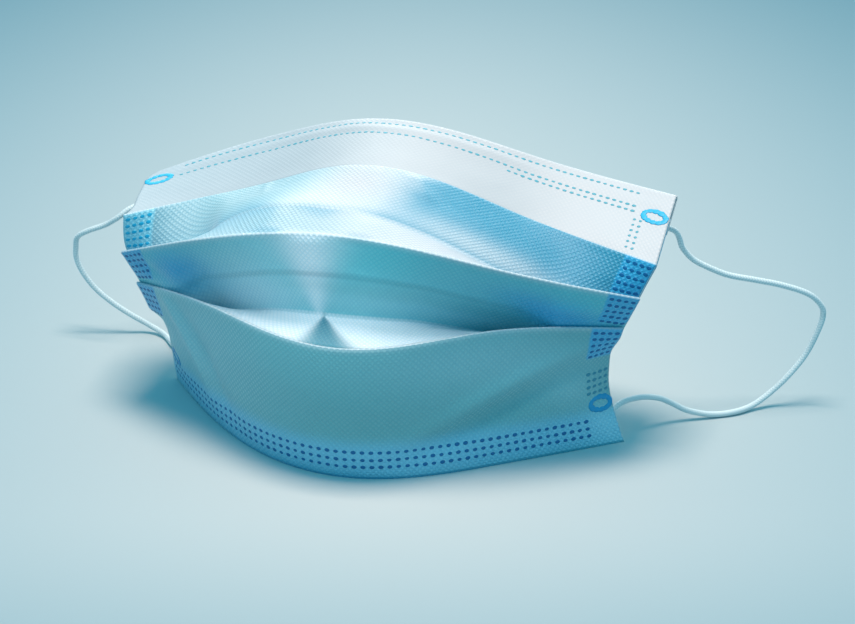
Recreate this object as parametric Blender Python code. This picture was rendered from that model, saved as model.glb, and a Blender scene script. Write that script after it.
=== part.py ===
# Pleated face mask standing on its lower edge.
# Metres, +Z up, the front faces -Y, the wearer's face would come from +Y.

from collections import namedtuple

import bmesh
import bpy
import numpy as np

# The cloth
CLOTH_WIDTH = 0.175       # length of every fold line, side edge to side edge
STANDING_HEIGHT = 0.084   # top edge above the surface, at the middle
BOW_DEPTH = 0.040         # how far the middle of the front stands ahead of the sides
WALL = 0.0010             # all plies of the cloth together
PLY_GAP = 0.0003          # clearance between folded layers
PLEAT_DEPTH = 0.013       # cloth tucked under each ridge
SIDE_SEAM = 0.012         # strip at each side where the pleats are pressed shut
OPENING_RUN = 0.026       # length over which a pleat opens, past the side seam
HALF_COLUMNS = 24         # columns of faces from the middle to one side

# The nose band, a white ply turned over the top edge
BAND_TURN = 0.014         # its hem behind the top edge
COVER_TUCK = 0.0085       # the cover's own edge lies this far under the band's fold
WIRE_LENGTH = 0.100
WIRE_WIDTH = 0.0040
WIRE_DROP = 0.0020        # from the band's fold down to the wire

# The ear loops
CORD_DIAMETER = 0.0018
CORD_GAP = 0.0004         # between a cord and the cloth that it is welded to
CORD_STEP = 0.0042        # spacing of the points along a cord

PITCH = WALL + PLY_GAP    # from one folded layer to the next

# Each fold line, read at five places from the left side (-X) to the right side (+X).
# back: distance behind the line of the sides, in shares of BOW_DEPTH (minus is in front)
# rise: height, in shares of STANDING_HEIGHT
# width: its length, in shares of CLOTH_WIDTH
Fold = namedtuple("Fold", "back rise width")
FOLDS = {
    "top": Fold((0.61, 1.02, 0.83, 0.94, 0.68), (0.745, 0.88, 1.00, 0.88, 0.835), 1.0),
    "first": Fold((-0.06, 0.38, 0.16, 0.30, 0.05), (0.705, 0.795, 0.945, 0.785, 0.70), 1.0),
    "second": Fold((-0.13, -0.56, -0.75, -0.53, -0.06), (0.575, 0.76, 0.85, 0.74, 0.59), 1.0),
    "third": Fold((-0.035, -0.65, -1.00, -0.565, -0.025), (0.44, 0.51, 0.495, 0.515, 0.465), 1.0),
    "waist": Fold((0.10, -0.63, -1.01, -0.57, 0.05), (0.23, 0.26, 0.25, 0.26, 0.24), 0.955),
    "hem": Fold((0.25, -0.545, -0.955, -0.53, 0.105), (0.0, 0.0, 0.0, 0.0, 0.0), 1.0),
}

# How far the cloth under each ridge swings out, in degrees, at the same five places.
SWING = {
    "first": (0.0, 0.0, 0.0, 0.0, 0.0),
    "second": (0.0, 71.0, 93.0, 40.0, 0.0),
    "third": (0.0, 68.0, 110.0, 68.0, 0.0),
}

# Where the cords are welded: share of the half width, and share of the way down the panel.
Seat = namedtuple("Seat", "across down")
UPPER_SEAT = Seat(0.88, 0.45)
LOWER_SEAT = Seat(0.93, 0.70)

# The cords' routes through the air and over the surface, from the upper to the lower weld.
RIGHT_ROUTE = (
    (0.0832, 0.0296, 0.0592), (0.0862, 0.0313, 0.0529), (0.0895, 0.0329, 0.0488),
    (0.0949, 0.0350, 0.0455), (0.1002, 0.0371, 0.0431), (0.1078, 0.0398, 0.0413),
    (0.1157, 0.0427, 0.0392), (0.1233, 0.0454, 0.0361), (0.1273, 0.0472, 0.0321),
    (0.1282, 0.0474, 0.0284), (0.1269, 0.0463, 0.0230), (0.1240, 0.0448, 0.0158),
    (0.1195, 0.0415, 0.0096), (0.1149, 0.0389, 0.0048), (0.1101, 0.0348, 0.0017),
    (0.1052, 0.0300, 0.0011), (0.0986, 0.0262, 0.0012), (0.0916, 0.0230, 0.0032),
    (0.0866, 0.0202, 0.0066), (0.0830, 0.0171, 0.0093), (0.0780, 0.0128, 0.0109),
    (0.0727, 0.0080, 0.0103),
)
LEFT_ROUTE = (
    (-0.0765, 0.0335, 0.0560), (-0.0810, 0.0440, 0.0505), (-0.0885, 0.0440, 0.0466),
    (-0.0948, 0.0385, 0.0445), (-0.0978, 0.0365, 0.0422), (-0.1028, 0.0366, 0.0389),
    (-0.1088, 0.0360, 0.0364), (-0.1129, 0.0364, 0.0337), (-0.1140, 0.0368, 0.0299),
    (-0.1140, 0.0367, 0.0255), (-0.1120, 0.0366, 0.0208), (-0.1083, 0.0370, 0.0155),
    (-0.1030, 0.0376, 0.0108), (-0.0969, 0.0386, 0.0065), (-0.0909, 0.0398, 0.0028),
    (-0.0846, 0.0372, 0.0012), (-0.0784, 0.0300, 0.0012), (-0.0715, 0.0236, 0.0012),
    (-0.0668, 0.0160, 0.0024),
)


def clear_scene():
    for thing in list(bpy.data.objects):
        bpy.data.objects.remove(thing, do_unlink=True)


def unit(rows):
    return rows / np.linalg.norm(rows, axis=-1, keepdims=True)


def smooth_row(values, shares):
    """A natural cubic through evenly spaced values, read at shares from -1 to 1."""
    count = len(values)
    step = 2.0 / (count - 1)
    system = np.eye(count)
    load = np.zeros(count)
    for i in range(1, count - 1):
        system[i, i - 1:i + 2] = (1.0, 4.0, 1.0)
        load[i] = 6.0 * (values[i - 1] - 2.0 * values[i] + values[i + 1]) / step ** 2
    bend = np.linalg.solve(system, load)
    values = np.asarray(values, dtype=float)
    place = (np.asarray(shares) + 1.0) / step
    i = np.clip(np.floor(place).astype(int), 0, count - 2)
    t = place - i
    cubic = (1.0 - t) ** 3 * bend[i] + t ** 3 * bend[i + 1]
    linear = (1.0 - t) * bend[i] + t * bend[i + 1]
    return (1.0 - t) * values[i] + t * values[i + 1] + (cubic - linear) * step ** 2 / 6.0


def fold_line(fold, shares):
    """The fold's course. The cloth doesn't stretch, so x follows from its length."""
    y = BOW_DEPTH * smooth_row(fold.back, shares)
    z = STANDING_HEIGHT * smooth_row(fold.rise, shares)
    length = 0.5 * CLOTH_WIDTH * fold.width * np.diff(shares)
    run = length ** 2 - np.diff(y) ** 2 - np.diff(z) ** 2
    run = np.sqrt(np.maximum(run, 0.05 * length ** 2))
    x = np.concatenate(([0.0], np.cumsum(run)))
    x -= x[len(shares) // 2]
    return np.column_stack((x, y, z))


def inward_of(line, down):
    """Across the cloth, towards the face, where `down` runs down the panel."""
    along = unit(np.gradient(line, axis=0))
    return unit(np.cross(along, down))


def swing_of(name, shares):
    """The swing of a pleat in radians: none in the side seam, then opening over a run."""
    half = 0.5 * CLOTH_WIDTH
    past_seam = (half * (1.0 - np.abs(shares)) - SIDE_SEAM) / OPENING_RUN
    past_seam = np.clip(past_seam, 0.0, 1.0)
    window = past_seam ** 2 * (3.0 - 2.0 * past_seam)
    return np.radians(np.maximum(smooth_row(SWING[name], shares), 0.0)) * window


Pleat = namedtuple("Pleat", "ridge back front_valley back_valley down inward")


def pleat_under(ridge, below, swing):
    """The cloth tucked under a ridge: down behind the panel, or swung out where it is open."""
    down = unit(below - ridge)
    inward = inward_of(ridge, down)
    cos = np.cos(swing)[:, None]
    sin = np.sin(swing)[:, None]
    back = ridge + PITCH * inward
    front_valley = back + PLEAT_DEPTH * (cos * down + sin * inward)
    back_valley = front_valley + PITCH * (cos * inward - sin * down)
    return Pleat(ridge, back, front_valley, back_valley, down, inward)


def pass_behind(pleat, upper_ridge):
    """Where the panel above comes down level with the ridge, two layers behind it."""
    span = upper_ridge - pleat.back_valley
    share = PLEAT_DEPTH / np.linalg.norm(span, axis=1, keepdims=True)
    place = pleat.back_valley + np.minimum(share, 0.5) * span
    depth = np.sum((place - pleat.ridge) * pleat.inward, axis=1, keepdims=True)
    return place + np.maximum(2.0 * PITCH - depth, 0.0) * pleat.inward


def cloth_lines(shares):
    """Every line of the folded cloth, on the middle of its wall."""
    line = {name: fold_line(fold, shares) for name, fold in FOLDS.items()}
    swing = {name: swing_of(name, shares) for name in SWING}
    third = pleat_under(line["third"], line["waist"], swing["third"])
    second = pleat_under(line["second"], third.back_valley, swing["second"])
    first = pleat_under(line["first"], second.back_valley, swing["first"])

    # The top panel bends round behind the first ridge, below the ridge's own fold.
    top_down = unit(line["first"] - line["top"])
    bend_sine = np.linalg.norm(np.cross(top_down, first.down), axis=1, keepdims=True)
    bend = first.ridge + 2.0 * PITCH * first.inward + 1.5 * PITCH * bend_sine * first.down

    top_down = unit(bend - line["top"])
    top_inward = inward_of(line["top"], top_down)
    clear = 0.5 * WALL + 1.5 * PLY_GAP + PITCH * bend_sine
    to_ridge = np.sum((first.ridge - line["top"]) * top_down, axis=1, keepdims=True)
    band_edge = line["top"] + (to_ridge - clear) * top_down
    return {
        "line": line, "first": first, "second": second, "third": third, "bend": bend,
        "top_down": top_down, "top_inward": top_inward, "band_edge": band_edge,
    }


def wall_between(rows, thickness, flat_foot=False):
    """Inner and outer rows of a wall whose middle runs down through `rows`."""
    rows = np.asarray(rows)
    along = unit(np.gradient(rows, axis=1))
    normals = []
    for i in range(len(rows) - 1):
        down = unit(rows[i + 1] - rows[i])
        normals.append(unit(np.cross(unit(along[i] + along[i + 1]), down)))
    inner, outer = [], []
    for i, row in enumerate(rows):
        before = normals[max(i - 1, 0)]
        after = normals[min(i, len(normals) - 1)]
        spread = 1.0 + np.sum(before * after, axis=1, keepdims=True)
        mitre = (before + after) / np.maximum(spread, 0.5)
        if flat_foot and i == len(rows) - 1:
            mitre = unit(mitre * (1.0, 1.0, 0.0))
        inner.append(row + 0.5 * thickness * mitre)
        outer.append(row - 0.5 * thickness * mitre)
    return inner, outer


def solid_wall(name, rows, thickness, material, flat_foot=False):
    """A closed solid: rows down one side and back up the other, capped at both ends."""
    inner, outer = wall_between(rows, thickness, flat_foot)
    ring = np.array(inner + outer[::-1])
    count, columns = ring.shape[:2]
    mesh = bmesh.new()
    verts = [[mesh.verts.new(ring[j, i]) for j in range(count)] for i in range(columns)]
    for i in range(columns - 1):
        for j in range(count):
            k = (j + 1) % count
            mesh.faces.new((verts[i][j], verts[i][k], verts[i + 1][k], verts[i + 1][j]))
    for end in (verts[0], verts[-1]):
        for j in range(count // 2 - 1):
            mesh.faces.new((end[j], end[j + 1], end[-2 - j], end[-1 - j]))
    bmesh.ops.recalc_face_normals(mesh, faces=mesh.faces)
    data = bpy.data.meshes.new(name)
    mesh.to_mesh(data)
    mesh.free()
    data.materials.append(material)
    piece = bpy.data.objects.new(name, data)
    bpy.context.collection.objects.link(piece)
    return piece


def plain_material(name, colour, roughness, metallic=0.0):
    material = bpy.data.materials.new(name)
    material.use_nodes = True
    shader = material.node_tree.nodes["Principled BSDF"]
    shader.inputs["Base Color"].default_value = (*colour, 1.0)
    shader.inputs["Roughness"].default_value = roughness
    shader.inputs["Metallic"].default_value = metallic
    return material


def cover_rows(lines):
    line = lines["line"]
    first, second, third = lines["first"], lines["second"], lines["third"]
    return [
        line["top"] + COVER_TUCK * lines["top_down"],
        0.5 * (line["top"] + lines["bend"]),
        lines["bend"],
        first.back_valley, first.front_valley, first.back, first.ridge,
        pass_behind(second, first.ridge),
        second.back_valley, second.front_valley, second.back, second.ridge,
        pass_behind(third, second.ridge),
        third.back_valley, third.front_valley, third.back, third.ridge,
        line["waist"],
        line["hem"],
    ]


def band_rows(lines):
    top, down = lines["line"]["top"], lines["top_down"]
    front = -PITCH * lines["top_inward"]
    behind = PITCH * lines["top_inward"]
    return [
        lines["band_edge"] + front,
        0.5 * (lines["band_edge"] + top) + front,
        top + front,
        top + behind,
        top + behind + BAND_TURN * down,
    ]


def wire_rows():
    """The wire's two edges, over its own shorter length."""
    reach = WIRE_LENGTH / CLOTH_WIDTH
    shares = np.linspace(-1.0, 1.0, 8 * HALF_COLUMNS + 1)
    lines = cloth_lines(shares)
    own = np.linspace(-reach, reach, HALF_COLUMNS + 1)
    rows = []
    for drop in (WIRE_DROP, WIRE_DROP + WIRE_WIDTH):
        edge = lines["line"]["top"] + drop * lines["top_down"]
        rows.append(np.column_stack([np.interp(own, shares, edge[:, k]) for k in range(3)]))
    return rows


def seat_point(rows, inward, shares, seat, side, lift):
    """A point on the inner side of a panel, `lift` off its middle."""
    place = []
    for k in range(3):
        upper = np.interp(side * seat.across, shares, rows[0][:, k])
        lower = np.interp(side * seat.across, shares, rows[1][:, k])
        off = np.interp(side * seat.across, shares, inward[:, k])
        place.append(upper + seat.down * (lower - upper) + lift * off)
    return place


def smooth_route(points, step):
    """Even points along a Catmull-Rom curve through the route's own points."""
    points = np.asarray(points)
    padded = np.vstack((2 * points[0] - points[1], points, 2 * points[-1] - points[-2]))
    dense = []
    for i in range(1, len(padded) - 2):
        a, b, c, d = padded[i - 1:i + 3]
        for t in np.linspace(0.0, 1.0, 12, endpoint=False):
            dense.append(0.5 * (2 * b + (c - a) * t + (2 * a - 5 * b + 4 * c - d) * t ** 2
                                + (3 * b - a - 3 * c + d) * t ** 3))
    dense.append(points[-1])
    dense = np.array(dense)
    run = np.concatenate(([0.0], np.cumsum(np.linalg.norm(np.diff(dense, axis=0), axis=1))))
    own = np.linspace(0.0, run[-1], int(round(run[-1] / step)) + 1)
    return np.column_stack([np.interp(own, run, dense[:, k]) for k in range(3)])


def cord(name, points, material):
    curve = bpy.data.curves.new(name, "CURVE")
    curve.dimensions = "3D"
    curve.bevel_depth = 0.5 * CORD_DIAMETER
    curve.bevel_resolution = 2
    curve.use_fill_caps = True
    spline = curve.splines.new("POLY")
    spline.points.add(len(points) - 1)
    for point, place in zip(spline.points, points):
        point.co = (*place, 1.0)
    curve.materials.append(material)
    piece = bpy.data.objects.new(name, curve)
    bpy.context.collection.objects.link(piece)
    return piece


def ear_loop(name, side, route, lines, shares, material):
    lift = 0.5 * WALL + CORD_GAP + 0.5 * CORD_DIAMETER
    line = lines["line"]
    lower_down = unit(line["hem"] - line["waist"])
    upper = seat_point((line["top"], lines["bend"]), lines["top_inward"], shares,
                       UPPER_SEAT, side, lift + PITCH)
    lower = seat_point((line["waist"], line["hem"]), inward_of(line["hem"], lower_down),
                       shares, LOWER_SEAT, side, lift)
    return cord(name, smooth_route([upper, *route, lower], CORD_STEP), material)


def stand_at_origin(cloth, others):
    """Moves everything so that the cloth's box stands centred on the origin."""
    corners = np.array([vert.co for piece in cloth for vert in piece.data.vertices])
    middle = 0.5 * (corners.min(axis=0) + corners.max(axis=0))
    shift = (-middle[0], -middle[1], -corners[:, 2].min())
    for piece in cloth + others:
        piece.location = shift


def build():
    clear_scene()
    shares = np.linspace(-1.0, 1.0, 2 * HALF_COLUMNS + 1)
    lines = cloth_lines(shares)
    blue = plain_material("blue_cloth", (0.16, 0.47, 0.60), 0.75)
    white = plain_material("white_cloth", (0.85, 0.90, 0.93), 0.75)
    wire = plain_material("wire", (0.80, 0.81, 0.82), 0.45, 0.6)
    elastic = plain_material("elastic", (0.80, 0.88, 0.92), 0.7)

    cloth = [
        solid_wall("pleated_cover", cover_rows(lines), WALL, blue, flat_foot=True),
        solid_wall("nose_band", band_rows(lines), WALL, white),
        solid_wall("nose_wire", wire_rows(), WALL, wire),
    ]
    loops = [
        ear_loop("ear_loop_right", 1, RIGHT_ROUTE, lines, shares, elastic),
        ear_loop("ear_loop_left", -1, LEFT_ROUTE, lines, shares, elastic),
    ]
    stand_at_origin(cloth, loops)


build()
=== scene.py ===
import math

import bpy
import numpy as np
from mathutils import Euler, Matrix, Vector, noise


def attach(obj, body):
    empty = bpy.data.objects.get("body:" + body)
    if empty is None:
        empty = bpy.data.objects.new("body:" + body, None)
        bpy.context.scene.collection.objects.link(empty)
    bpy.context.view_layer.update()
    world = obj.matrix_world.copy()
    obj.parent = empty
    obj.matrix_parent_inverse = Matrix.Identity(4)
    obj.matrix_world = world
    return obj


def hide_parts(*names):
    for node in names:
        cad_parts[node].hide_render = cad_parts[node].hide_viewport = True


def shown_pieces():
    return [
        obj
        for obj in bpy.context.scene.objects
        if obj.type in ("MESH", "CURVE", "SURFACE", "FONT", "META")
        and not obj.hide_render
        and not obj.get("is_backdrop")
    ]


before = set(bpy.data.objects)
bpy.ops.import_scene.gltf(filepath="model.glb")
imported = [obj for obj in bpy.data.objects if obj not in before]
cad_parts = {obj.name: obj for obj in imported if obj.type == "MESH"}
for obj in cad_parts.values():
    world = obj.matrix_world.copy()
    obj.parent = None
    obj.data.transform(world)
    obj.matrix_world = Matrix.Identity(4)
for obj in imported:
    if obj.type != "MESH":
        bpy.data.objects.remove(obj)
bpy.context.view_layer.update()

print("frame loaded:", sorted(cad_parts))

# where the fold table's own origin lies in the frame
tableOrigin = np.array((-0.00213, -0.00049, 0.0))

view = {"place": (0.1530, -0.5272, 0.2844), "down": 24.384, "turn": 14.847, "lens": 84.905, "sensor": 36.0}


def makeCamera():
    data = bpy.data.cameras.new("camera")
    data.lens = view["lens"]
    data.sensor_width = view["sensor"]
    data.clip_start = 0.01
    camera = bpy.data.objects.new("camera", data)
    camera.location = view["place"]
    camera.rotation_euler = Euler((math.radians(90.0 - view["down"]), 0.0, math.radians(view["turn"])))
    bpy.context.scene.collection.objects.link(camera)
    bpy.context.scene.camera = camera


makeCamera()
bpy.context.scene.view_settings.view_transform = "Standard"


# node trees: one maker for shaders and for geometry, and values that can be added and multiplied

class Value:
    def __init__(self, maker, socket):
        self.maker = maker
        self.socket = socket

    def __add__(self, other):
        return self.maker.maths("ADD", self, other)

    def __radd__(self, other):
        return self.maker.maths("ADD", other, self)

    def __sub__(self, other):
        return self.maker.maths("SUBTRACT", self, other)

    def __rsub__(self, other):
        return self.maker.maths("SUBTRACT", other, self)

    def __mul__(self, other):
        return self.maker.maths("MULTIPLY", self, other)

    def __rmul__(self, other):
        return self.maker.maths("MULTIPLY", other, self)

    def sine(self):
        return self.maker.maths("SINE", self)

    def size(self):
        return self.maker.maths("ABSOLUTE", self)

    def atMost(self, other):
        return self.maker.maths("MINIMUM", self, other)


class Maker:
    def __init__(self, tree):
        self.tree = tree

    def node(self, kind, settings=None, inputs=None):
        made = self.tree.nodes.new(kind)
        for name, value in (settings or {}).items():
            setattr(made, name, value)
        for name, value in (inputs or {}).items():
            if isinstance(value, Value):
                self.tree.links.new(value.socket, made.inputs[name])
            else:
                made.inputs[name].default_value = value
        return made

    def out(self, kind, settings=None, inputs=None, output=0):
        return Value(self, self.node(kind, settings, inputs).outputs[output])

    def maths(self, operation, *values):
        return self.out("ShaderNodeMath", {"operation": operation}, dict(enumerate(values)))

    def firstTwo(self, vector):
        parts = self.node("ShaderNodeSeparateXYZ", None, {0: vector})
        return Value(self, parts.outputs[0]), Value(self, parts.outputs[1])

    def smooth(self, value, low, high):
        return self.out("ShaderNodeMapRange", {"interpolation_type": "SMOOTHSTEP"},
                        {"Value": value, "From Min": low, "From Max": high})

    def cloud(self, place, scale, detail, roughness=0.5):
        return self.out("ShaderNodeTexNoise", None,
                        {"Vector": place, "Scale": scale, "Detail": detail, "Roughness": roughness})

    def relief(self, strength, distance, height):
        return self.out("ShaderNodeBump", None,
                        {"Strength": strength, "Distance": distance, "Height": height})

    def mixColour(self, share, first, second):
        return self.out("ShaderNodeMix", {"data_type": "RGBA"}, {0: share, 6: first, 7: second}, 2)


def newMaterial(name, fixed):
    material = bpy.data.materials.new(name)
    material.use_nodes = True
    shader = material.node_tree.nodes["Principled BSDF"]
    for socket, value in fixed.items():
        shader.inputs[socket].default_value = value
    return material, Maker(material.node_tree), shader


def feed(maker, shader, links):
    for socket, value in links.items():
        maker.tree.links.new(value.socket, shader.inputs[socket])


# cloth finishes: sizes in metres on the cloth's own UV map, its colour from the tones laid over each panel,
# which carry painted light and shade

spunbond = {
    "pit": 0.00170, "pitEdge": (0.20, 0.80), "pitDepth": 0.9, "pitGloss": 0.08, "bump": 0.00014,
    "fibre": 0.00030, "fibreHeight": 0.6, "fibreDark": 0.20, "fibreRough": 0.12,
    "cloud": 0.006, "cloudHeight": 0.3, "cloudDark": 0.16, "groundDark": 0.28, "dark": (0.30, 0.66, 0.80),
}


def clothMaterial(name, roughness, strength, finish=spunbond):
    fixed = {"Specular IOR Level": 0.6, "Sheen Weight": 0.5, "Sheen Roughness": 0.35}
    material, maker, shader = newMaterial(name, fixed)
    uv = maker.out("ShaderNodeUVMap", {"uv_map": "cloth"})
    across, along = maker.firstTwo(uv)
    turn = math.pi / finish["pit"]
    first = ((across + along) * turn).sine()
    second = ((across - along) * turn).sine()
    pits = maker.smooth((first * second).size(), *finish["pitEdge"])
    fibres = maker.cloud(uv, 1.0 / finish["fibre"], 2.0, 0.6)
    clouds = maker.cloud(uv, 1.0 / finish["cloud"], 4.0, 0.6)
    height = fibres * finish["fibreHeight"] + clouds * finish["cloudHeight"] - pits * finish["pitDepth"]
    shade = (1.0 - pits) * finish["groundDark"] + fibres * finish["fibreDark"] + clouds * finish["cloudDark"]
    # the colour laid over each panel: the cloth's own tones with painted light and shade in them
    toneAndShading = maker.out("ShaderNodeAttribute", {"attribute_name": "toneAndShading"})
    dark = maker.out("ShaderNodeVectorMath", {"operation": "MULTIPLY"}, {0: toneAndShading, 1: finish["dark"]})
    feed(maker, shader, {
        "Base Color": maker.mixColour((shade * strength).atMost(1.0), toneAndShading, dark),
        "Roughness": roughness + fibres * finish["fibreRough"] - pits * finish["pitGloss"],
        "Normal": maker.relief(strength, finish["bump"], height),
    })
    return material


def plainMaterial(name, colour, roughness, metallic=0.0, grain=900.0, depth=0.00004):
    material, maker, shader = newMaterial(name, {"Metallic": metallic, "Specular IOR Level": 0.25})
    place = maker.out("ShaderNodeTexCoord", None, None, 3)
    speckle = maker.cloud(place, grain, 3.0)
    dark = tuple(0.82 * c for c in colour)
    feed(maker, shader, {
        "Base Color": maker.mixColour(speckle, (*dark, 1.0), (*colour, 1.0)),
        "Roughness": roughness + speckle * 0.15,
        "Normal": maker.relief(0.5, depth, speckle),
    })
    return material


blueCloth = clothMaterial("blueCloth", 0.42, 0.85)
whiteCloth = clothMaterial("whiteCloth", 0.50, 0.22)
liningCloth = plainMaterial("liningCloth", (0.80, 0.86, 0.90), 0.55, grain=1400.0, depth=0.00008)
wireMetal = plainMaterial("wireMetal", (0.78, 0.79, 0.80), 0.40, metallic=0.6)
weldBlue = plainMaterial("weldBlue", (0.006, 0.15, 0.38), 0.38)
weldMid = plainMaterial("weldMid", (0.01, 0.33, 0.64), 0.36)
weldCyan = plainMaterial("weldCyan", (0.02, 0.46, 0.74), 0.34)
weldPale = plainMaterial("weldPale", (0.08, 0.38, 0.49), 0.40)
weldFaint = plainMaterial("weldFaint", (0.05, 0.30, 0.43), 0.42)
print("materials made")

# ear loops: routes from the upper weld to the lower weld

earLoop = {"diameter": 0.0018, "sides": 10, "step": 0.0004, "rib": 0.0009, "ribDepth": 0.06,
           "strands": 4.0, "sway": 1.4}

loopRoutes = {
    "ear_loop_right": {
        "length": 0.1676, "upper": (0.0719, 0.0213, 0.0618), "lower": (0.0658, 0.0010, 0.0061),
        "route": (
            (0.0832, 0.0296, 0.0592), (0.0862, 0.0313, 0.0529), (0.0895, 0.0329, 0.0488),
            (0.0949, 0.0350, 0.0455), (0.1002, 0.0371, 0.0431), (0.1078, 0.0398, 0.0413),
            (0.1157, 0.0427, 0.0392), (0.1233, 0.0454, 0.0361), (0.1273, 0.0472, 0.0321),
            (0.1282, 0.0474, 0.0284), (0.1269, 0.0463, 0.0230), (0.1240, 0.0448, 0.0158),
            (0.1195, 0.0415, 0.0096), (0.1149, 0.0389, 0.0048), (0.1101, 0.0348, 0.0017),
            (0.1052, 0.0300, 0.0011), (0.0986, 0.0262, 0.0012), (0.0916, 0.0230, 0.0032),
            (0.0866, 0.0202, 0.0066), (0.0830, 0.0171, 0.0093), (0.0780, 0.0128, 0.0109),
            (0.0727, 0.0080, 0.0103))},
    "ear_loop_left": {
        "length": 0.1565, "upper": (-0.0731, 0.0192, 0.0588), "lower": (-0.0657, 0.0043, 0.0061),
        "route": (
            (-0.0765, 0.0335, 0.0560), (-0.0810, 0.0440, 0.0505), (-0.0885, 0.0440, 0.0466),
            (-0.0948, 0.0385, 0.0445), (-0.0978, 0.0365, 0.0422), (-0.1028, 0.0366, 0.0389),
            (-0.1088, 0.0360, 0.0364), (-0.1129, 0.0364, 0.0337), (-0.1140, 0.0368, 0.0299),
            (-0.1140, 0.0367, 0.0255), (-0.1120, 0.0366, 0.0208), (-0.1083, 0.0370, 0.0155),
            (-0.1030, 0.0376, 0.0108), (-0.0969, 0.0386, 0.0065), (-0.0909, 0.0398, 0.0028),
            (-0.0846, 0.0372, 0.0012), (-0.0784, 0.0300, 0.0012), (-0.0715, 0.0236, 0.0012),
            (-0.0668, 0.0160, 0.0024))},
}


def runOf(points):
    # how far along the line each point lies
    return np.concatenate(([0.0], np.cumsum(np.linalg.norm(np.diff(points, axis=0), axis=1))))


def smoothRoute(points, step):
    # even points along a Catmull-Rom curve through the route's own points
    points = np.asarray(points)
    padded = np.vstack((2 * points[0] - points[1], points, 2 * points[-1] - points[-2]))
    dense = []
    for i in range(1, len(padded) - 2):
        a, b, c, d = padded[i - 1:i + 3]
        for t in np.linspace(0.0, 1.0, 12, endpoint=False):
            dense.append(0.5 * (2 * b + (c - a) * t + (2 * a - 5 * b + 4 * c - d) * t ** 2
                                + (3 * b - a - 3 * c + d) * t ** 3))
    dense.append(points[-1])
    dense = np.array(dense)
    run = runOf(dense)
    own = np.linspace(0.0, run[-1], int(round(run[-1] / step)) + 1)
    return np.column_stack([np.interp(own, run, dense[:, k]) for k in range(3)])


def unit(rows):
    return rows / np.linalg.norm(rows, axis=-1, keepdims=True)


def addObject(name, mesh, materials):
    for material in materials:
        mesh.materials.append(material)
    mesh.shade_smooth()
    piece = bpy.data.objects.new(name, mesh)
    bpy.context.scene.collection.objects.link(piece)
    return piece


def cordMaterial():
    material, maker, shader = newMaterial("elasticKnit", {"Specular IOR Level": 0.4, "Sheen Weight": 0.3})
    uv = maker.out("ShaderNodeUVMap", {"uv_map": "cord"})
    around, along = maker.firstTwo(uv)
    turn = 2.0 * math.pi
    sway = (around * (earLoop["strands"] * turn)).sine() * earLoop["sway"]
    knit = (along * (turn / earLoop["rib"]) + sway).sine()
    fuzz = maker.cloud(uv, 900.0, 3.0)
    height = knit * 0.5 + fuzz
    shade = maker.smooth(knit + fuzz, -0.6, 1.3)
    feed(maker, shader, {
        "Base Color": maker.mixColour(shade, (0.48, 0.65, 0.70, 1.0), (0.64, 0.77, 0.80, 1.0)),
        "Roughness": 0.55 + fuzz * 0.2,
        "Normal": maker.relief(0.5, 0.00008, height),
    })
    return material


def cordTube(name, path, material):
    # a tube with fine knit ribs
    sides, radius = earLoop["sides"], 0.5 * earLoop["diameter"]
    along = unit(np.gradient(path, axis=0))
    side = unit(np.cross(along, (0.0, 0.0, 1.0)))
    other = np.cross(along, side)
    run = runOf(path)
    rib = 1.0 + earLoop["ribDepth"] * np.sin(2.0 * math.pi * run / earLoop["rib"])
    angles = np.linspace(0.0, 2.0 * math.pi, sides, endpoint=False)
    ring = np.cos(angles)[None, :, None] * side[:, None] + np.sin(angles)[None, :, None] * other[:, None]
    rings = path[:, None] + radius * rib[:, None, None] * ring
    count = len(path)
    verts = np.vstack((rings.reshape(-1, 3), path[:1], path[-1:]))
    faces, uvs = [], []
    for i in range(count - 1):
        for j in range(sides):
            k = (j + 1) % sides
            faces.append((i * sides + j, (i + 1) * sides + j, (i + 1) * sides + k, i * sides + k))
            u0, u1, v0, v1 = j / sides, (j + 1) / sides, run[i], run[i + 1]
            uvs.extend(((u0, v0), (u0, v1), (u1, v1), (u1, v0)))
    last = (count - 1) * sides
    for j in range(sides):
        k = (j + 1) % sides
        faces.append((count * sides, j, k))
        uvs.extend(((0.5, 0.0), (j / sides, 0.0), ((j + 1) / sides, 0.0)))
        faces.append((count * sides + 1, last + k, last + j))
        uvs.extend(((0.5, run[-1]), ((j + 1) / sides, run[-1]), (j / sides, run[-1])))
    mesh = bpy.data.meshes.new(name)
    mesh.from_pydata(verts.tolist(), [], faces)
    layer = mesh.uv_layers.new(name="cord")
    layer.data.foreach_set("uv", np.array(uvs, np.float32).reshape(-1))
    return addObject(name, mesh, [material])


knit = cordMaterial()
for node, loop in loopRoutes.items():
    middle = [np.array(place) + tableOrigin for place in loop["route"]]
    path = smoothRoute([np.array(loop["upper"]), *middle, np.array(loop["lower"])], earLoop["step"])
    tube = cordTube(node + "_cord", path, knit)
    print(node, "is", round(float(runOf(path)[-1]) * 1000.0, 1), "mm long")
    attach(tube, "root")
    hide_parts(node)

# the cloth's sizes in metres; a pleat counts as open once it has swung by openSwing, in radians

cloth = {
    "width": 0.175, "height": 0.084, "bow": 0.040, "wall": 0.00042, "gap": 0.00014,
    "pleat": 0.013, "seam": 0.012, "openingRun": 0.022, "openSwing": 0.6,
    "bandTurn": 0.014, "bandLift": 1.1, "tuck": 0.0085,
    "stations": 221, "rowStep": 0.00095, "hiddenStep": 0.0022,
}
pitch = cloth["wall"] + cloth["gap"]
halfWidth = 0.5 * cloth["width"]

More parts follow.
